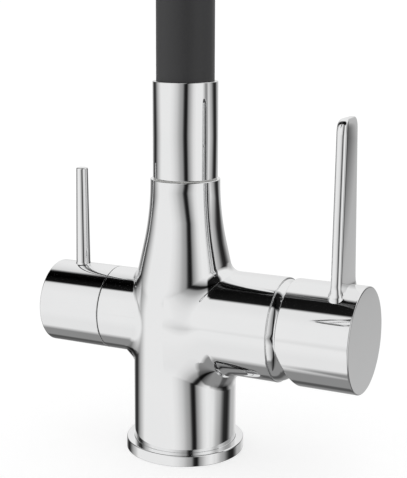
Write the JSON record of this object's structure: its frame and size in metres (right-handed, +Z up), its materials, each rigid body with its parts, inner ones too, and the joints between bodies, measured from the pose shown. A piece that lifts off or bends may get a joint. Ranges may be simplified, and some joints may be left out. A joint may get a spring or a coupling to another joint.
{
  "type": "three way filtered kitchen tap",
  "caption": "Deck-mounted kitchen tap with a flexible swan-neck spout, a side mixer lever and a pin lever for filtered water.",
  "frame": {"origin": "centre of the base's underside, on the worktop, on the column's axis", "axes": "+Z up along the column, -Y forward along the spout's reach, +X towards the mixer arm and -X towards the filtered water arm"},
  "size_m": [0.1505, 0.2311, 0.4598],
  "materials": {
    "chrome": "polished",
    "brass": "turned",
    "steel": "satin",
    "rubber": "matt",
    "silicone": "soft matt",
    "ceramic": "lapped",
    "white_plastic": "moulded",
    "grey_plastic": "moulded",
    "clear_tube": "smooth"
  },
  "bodies": {
    "tap_body": {"body": "chrome", "base_ring": "chrome", "base_gasket": "rubber", "shank": "brass", "rubber_washer": "rubber", "steel_washer": "steel", "shank_nut": "brass", "cartridge_housing": "white_plastic", "cartridge_base": "grey_plastic", "port_seals": "rubber", "fixed_disc": "ceramic", "retaining_nut": "brass", "dome_ring": "chrome", "valve_body": "brass", "valve_seal": "rubber", "valve_fixed_disc": "ceramic", "slide_ring": "white_plastic", "lock_screw": "steel", "tube_seal": "rubber"},
    "mixer_rotor": {"rotor": "white_plastic", "tilt_pin": "steel"},
    "mixer_disc": {"sliding_disc": "ceramic", "disc_carrier": "grey_plastic"},
    "mixer_handle": {"spindle": "steel", "handle": "chrome", "mixer_lever": "chrome", "handle_screw": "steel", "handle_plug": "chrome"},
    "filter_control": {"valve_turning_disc": "ceramic", "valve_spindle": "brass", "valve_o_ring": "rubber", "valve_clip": "steel", "filter_knob": "chrome", "filter_lever": "chrome"},
    "spout_riser": {"swivel_stem": "brass", "stem_seals": "rubber", "collar": "chrome", "sleeve_1": "silicone", "hose_1": "grey_plastic", "tube_1": "clear_tube"},
    "spout_link_2": {"sleeve_2": "silicone", "hose_2": "grey_plastic", "tube_2": "clear_tube"},
    "spout_link_3": {"sleeve_3": "silicone", "hose_3": "grey_plastic", "tube_3": "clear_tube"},
    "spout_link_4": {"sleeve_4": "silicone", "hose_4": "grey_plastic", "tube_4": "clear_tube"},
    "spout_nozzle": {"sleeve_5": "silicone", "hose_5": "grey_plastic", "tube_5": "clear_tube", "nozzle_shell": "chrome", "nozzle_stem": "brass", "aerator_seal": "rubber", "aerator_housing": "chrome", "aerator_insert": "grey_plastic", "filtered_outlet": "white_plastic"}
  },
  "joints": [
    {"name": "mixer_turn", "type": "hinge", "parent": "tap_body", "child": "mixer_rotor", "pos_m": [0.044, 0, 0.061], "axis": [1, 0, 0], "range_deg": [-45, 45]},
    {"name": "mixer_lift", "type": "hinge", "parent": "mixer_rotor", "child": "mixer_handle", "pos_m": [0.044, 0, 0.061], "axis": [0, 1, 0], "range_deg": [0, 20]},
    {"name": "disc_slide", "type": "slide", "parent": "mixer_rotor", "child": "mixer_disc", "axis": [0, 0, 1], "range_m": [0, 0.0042]},
    {"name": "filter_turn", "type": "hinge", "parent": "tap_body", "child": "filter_control", "pos_m": [-0.0534, 0, 0.061], "axis": [1, 0, 0], "range_deg": [0, 90]},
    {"name": "spout_swivel", "type": "hinge", "parent": "tap_body", "child": "spout_riser", "pos_m": [0, 0, 0.1245], "axis": [0, 0, 1], "continuous": true},
    {"name": "spout_bend_1", "type": "hinge", "parent": "spout_riser", "child": "spout_link_2", "pos_m": [0, -0.01814, 0.35584], "axis": [1, 0, 0], "range_deg": [-12, 12]},
    {"name": "spout_bend_2", "type": "hinge", "parent": "spout_link_2", "child": "spout_link_3", "pos_m": [0, -0.06564, 0.39035], "axis": [1, 0, 0], "range_deg": [-12, 12]},
    {"name": "spout_bend_3", "type": "hinge", "parent": "spout_link_3", "child": "spout_link_4", "pos_m": [0, -0.12436, 0.39035], "axis": [1, 0, 0], "range_deg": [-12, 12]},
    {"name": "spout_bend_4", "type": "hinge", "parent": "spout_link_4", "child": "spout_nozzle", "pos_m": [0, -0.17186, 0.35584], "axis": [1, 0, 0], "range_deg": [-12, 12]}
  ],
  "couplings": [
    {"joint": "disc_slide", "follows": "mixer_lift", "m_per_rad": 0.012},
    {"joint": "spout_bend_2", "follows": "spout_bend_1", "ratio": 1},
    {"joint": "spout_bend_3", "follows": "spout_bend_1", "ratio": 1},
    {"joint": "spout_bend_4", "follows": "spout_bend_1", "ratio": 1}
  ]
}
